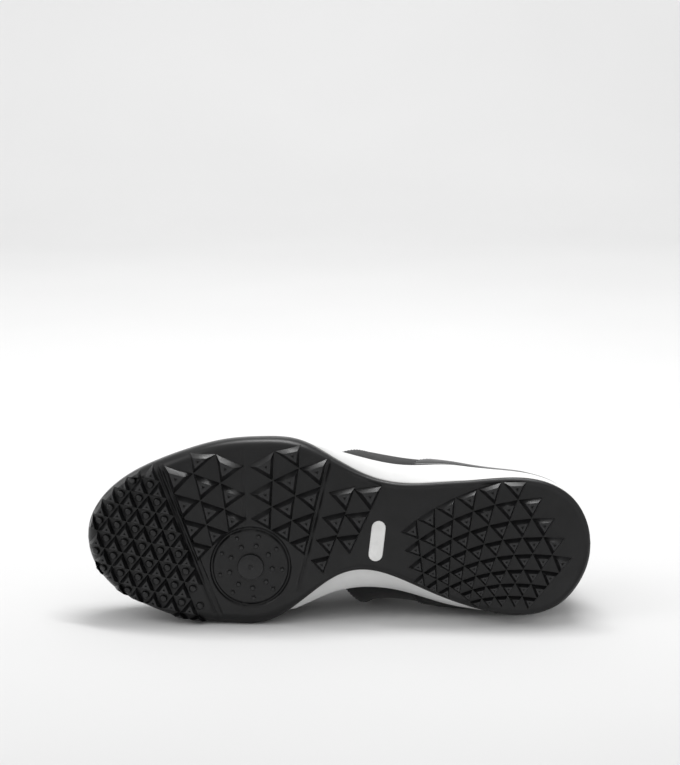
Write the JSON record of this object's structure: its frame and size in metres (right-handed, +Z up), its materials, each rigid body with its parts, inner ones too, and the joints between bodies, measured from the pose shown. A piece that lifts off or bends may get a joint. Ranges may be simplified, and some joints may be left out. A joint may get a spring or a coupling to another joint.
{
  "type": "turf shoe",
  "caption": "Low turf shoe for the left foot, lying on its side: studded rubber outsole with a pivot disc, pale foam midsole, hollow laced upper.",
  "frame": {"origin": "centre of the bounding box in plan, on the floor the shoe lies on", "axes": "+X from toe to heel, +Y from the sole toward the collar, +Z up, which is the shoe's lateral side as it lies on its medial side"},
  "size_m": [0.2892, 0.1166, 0.1071],
  "materials": {
    "rubber": "satin black moulded rubber",
    "inlay": "matte white",
    "foam": "matte white foam",
    "lining": "dark woven textile",
    "upper_leather": "semi-gloss black synthetic leather",
    "overlay": "matte black synthetic leather",
    "lace": "flat black woven lace"
  },
  "bodies": {
    "root": {"outsole": "rubber", "sole_inlay": "inlay", "midsole": "foam", "insole": "lining", "upper": "upper_leather", "quarter": "overlay", "heel_counter": "overlay", "eyestay": "overlay", "tongue": "lining", "lace_crossings": "lace"}
  },
  "joints": []
}
